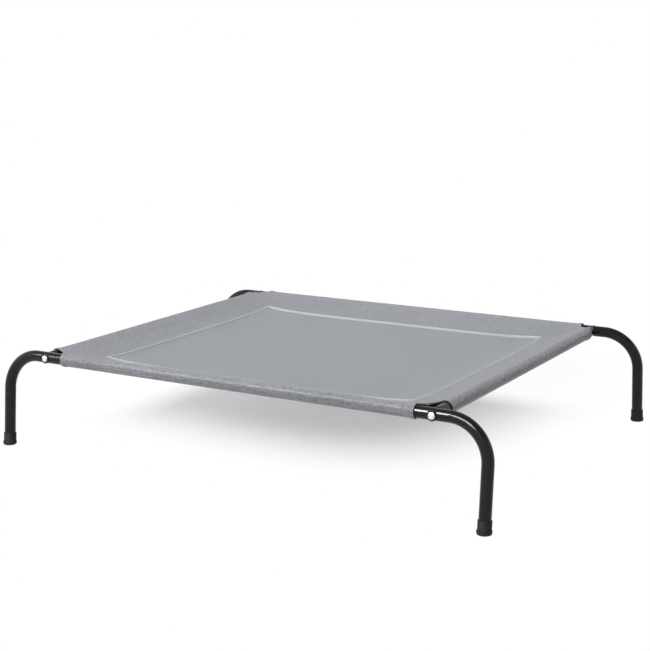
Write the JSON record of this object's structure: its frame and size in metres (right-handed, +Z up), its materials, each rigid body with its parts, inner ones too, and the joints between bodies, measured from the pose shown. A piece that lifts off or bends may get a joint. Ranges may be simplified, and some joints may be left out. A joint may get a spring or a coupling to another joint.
{
  "type": "raised dog cot",
  "caption": "Raised dog cot: bent black tube legs and rails on rubber feet, with a grey sewn fabric sling stretched over the rails by its border sleeves.",
  "frame": {"origin": "on the floor, under the middle of the cot", "axes": "+X along the long rails to the right, +Y to the rear, +Z up"},
  "size_m": [1.0646, 0.8042, 0.1983],
  "materials": {
    "black_powder_coat": "glossy black powder coat on steel tube",
    "black_rubber": "matt moulded",
    "black_plastic": "fine moulded grain",
    "zinc_plate": "bright zinc plate",
    "panel_cloth": "fine plain weave",
    "border_cloth": "coarse coated weave",
    "seam_welt": "woven cover over a cord"
  },
  "bodies": {
    "root": {"front_left_leg": "black_powder_coat", "front_right_leg": "black_powder_coat", "rear_left_leg": "black_powder_coat", "rear_right_leg": "black_powder_coat", "front_rail": "black_powder_coat", "rear_rail": "black_powder_coat", "left_cross_rail": "black_powder_coat", "right_cross_rail": "black_powder_coat", "front_left_foot": "black_rubber", "front_right_foot": "black_rubber", "rear_left_foot": "black_rubber", "rear_right_foot": "black_rubber", "front_left_saddle": "black_plastic", "front_right_saddle": "black_plastic", "rear_left_saddle": "black_plastic", "rear_right_saddle": "black_plastic", "corner_washers": "black_plastic", "corner_bolts": "zinc_plate", "corner_nuts": "zinc_plate", "centre_panel": "panel_cloth", "front_border": "border_cloth", "rear_border": "border_cloth", "left_border": "border_cloth", "right_border": "border_cloth", "seam_binding": "seam_welt"}
  },
  "joints": []
}
